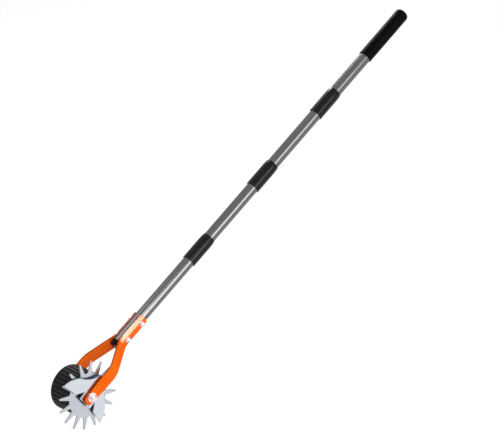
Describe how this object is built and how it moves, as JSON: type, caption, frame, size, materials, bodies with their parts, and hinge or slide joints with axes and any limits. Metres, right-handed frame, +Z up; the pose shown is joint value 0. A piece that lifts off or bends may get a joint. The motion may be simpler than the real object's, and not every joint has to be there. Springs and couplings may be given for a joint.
{
  "type": "rotary lawn edger",
  "caption": "Long-handled rotary lawn edger: a ribbed wheel and a toothed star blade turn together in a bent strap fork, under a sectional tube handle with a round grip.",
  "frame": {"origin": "middle of the grip's straight part, on the handle's axis", "axes": "+X along the axle towards the star blade, +Y level, towards the grip from the head, +Z up; the handle leans 36 degrees above the ground as in use"},
  "size_m": [0.1032, 0.9394, 0.7067],
  "materials": {
    "orange_paint": "glossy orange paint",
    "tube_grey": "satin metallic grey lacquer",
    "black_plastic": "satin moulded",
    "grip_black": "smooth soft sheen",
    "blade_steel": "pale zinc, satin",
    "zinc_fastener": "bright zinc",
    "tread_rubber": "matt, moulded ribs",
    "wheel_plastic": "matt moulded",
    "bush_nylon": "natural nylon"
  },
  "bodies": {
    "fork": {"fork_arm_blade_side": "orange_paint", "fork_arm_wheel_side": "orange_paint", "fork_bolts": "zinc_fastener", "fork_nuts": "zinc_fastener", "fork_washers": "zinc_fastener", "tube_plug": "black_plastic", "lower_tube": "tube_grey", "lower_stud": "bush_nylon", "axle_bolt": "zinc_fastener", "axle_nut": "zinc_fastener", "axle_washers": "zinc_fastener", "axle_sleeve": "zinc_fastener", "wheel_side_spacer": "zinc_fastener", "blade_side_spacer": "zinc_fastener", "thrust_washer": "zinc_fastener", "counter_blade": "blade_steel"},
    "rotor": {"star_blade": "blade_steel", "blade_lock_ring": "wheel_plastic", "wheel_tyre": "tread_rubber", "wheel_core": "wheel_plastic", "wheel_bushes": "bush_nylon"},
    "lower_thread": {"lower_bush": "bush_nylon"},
    "second_section": {"second_tube": "tube_grey", "lower_coupling": "black_plastic", "middle_stud": "bush_nylon"},
    "middle_thread": {"middle_bush": "bush_nylon"},
    "third_section": {"third_tube": "tube_grey", "middle_coupling": "black_plastic", "top_stud": "bush_nylon"},
    "top_thread": {"top_bush": "bush_nylon"},
    "top_section": {"top_tube": "tube_grey", "top_coupling": "black_plastic", "grip": "grip_black"}
  },
  "joints": [
    {"name": "rotor_spin", "type": "hinge", "parent": "fork", "child": "rotor", "pos_m": [0, -0.80574, -0.5854], "axis": [1, 0, 0], "continuous": true},
    {"name": "lower_rise", "type": "slide", "parent": "fork", "child": "lower_thread", "axis": [0, 0.809, 0.5878], "range_m": [0, 0.0127]},
    {"name": "lower_turn", "type": "hinge", "parent": "lower_thread", "child": "second_section", "pos_m": [0, 0, 0], "axis": [0, 0.809, 0.5878], "range_deg": [0, 900.7]},
    {"name": "middle_rise", "type": "slide", "parent": "second_section", "child": "middle_thread", "axis": [0, 0.809, 0.5878], "range_m": [0, 0.0127]},
    {"name": "middle_turn", "type": "hinge", "parent": "middle_thread", "child": "third_section", "pos_m": [0, 0, 0], "axis": [0, 0.809, 0.5878], "range_deg": [0, 900.7]},
    {"name": "top_rise", "type": "slide", "parent": "third_section", "child": "top_thread", "axis": [0, 0.809, 0.5878], "range_m": [0, 0.0127]},
    {"name": "top_turn", "type": "hinge", "parent": "top_thread", "child": "top_section", "pos_m": [0, 0, 0], "axis": [0, 0.809, 0.5878], "range_deg": [0, 900.7]}
  ],
  "couplings": [
    {"joint": "lower_turn", "follows": "lower_rise", "rad_per_m": 1236.8},
    {"joint": "middle_turn", "follows": "middle_rise", "rad_per_m": 1236.8},
    {"joint": "top_turn", "follows": "top_rise", "rad_per_m": 1236.8}
  ]
}
